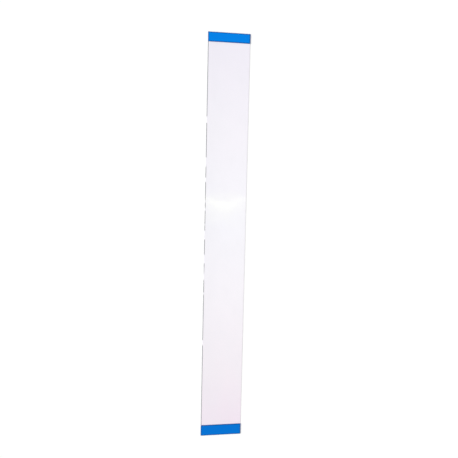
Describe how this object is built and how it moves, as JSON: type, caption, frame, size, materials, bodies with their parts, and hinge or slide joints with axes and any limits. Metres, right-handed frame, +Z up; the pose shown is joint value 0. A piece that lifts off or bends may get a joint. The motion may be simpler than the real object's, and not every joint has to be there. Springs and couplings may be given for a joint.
{
  "type": "flat flex cable",
  "caption": "Straight flat flex cable: parallel flat conductors laminated between two white tapes, with a blue stiffener and bared contacts at each end.",
  "frame": {"origin": "middle of the cable's outline, on the surface that its lowest ribs lie on", "axes": "+Y along the cable's length, towards the far end, whose stiffener is the shorter; +X across its width; +Z up, out of the stiffeners' faces, so the contacts face -Z"},
  "size_m": [0.0206, 0.2, 0.0003],
  "materials": {
    "tape": "gloss",
    "stiffener": "gloss",
    "conductor": "satin"
  },
  "bodies": {
    "root": {"upper_tape": "tape", "lower_tape": "tape", "near_stiffener": "stiffener", "far_stiffener": "stiffener", "conductor_01": "conductor", "conductor_02": "conductor", "conductor_03": "conductor", "conductor_04": "conductor", "conductor_05": "conductor", "conductor_06": "conductor", "conductor_07": "conductor", "conductor_08": "conductor", "conductor_09": "conductor", "conductor_10": "conductor", "conductor_11": "conductor", "conductor_12": "conductor", "conductor_13": "conductor", "conductor_14": "conductor", "conductor_15": "conductor", "conductor_16": "conductor", "conductor_17": "conductor", "conductor_18": "conductor", "conductor_19": "conductor", "conductor_20": "conductor", "conductor_21": "conductor", "conductor_22": "conductor", "conductor_23": "conductor", "conductor_24": "conductor", "conductor_25": "conductor", "conductor_26": "conductor", "conductor_27": "conductor", "conductor_28": "conductor", "conductor_29": "conductor", "conductor_30": "conductor", "conductor_31": "conductor", "conductor_32": "conductor", "conductor_33": "conductor", "conductor_34": "conductor", "conductor_35": "conductor", "conductor_36": "conductor", "conductor_37": "conductor", "conductor_38": "conductor", "conductor_39": "conductor", "conductor_40": "conductor"}
  },
  "joints": []
}
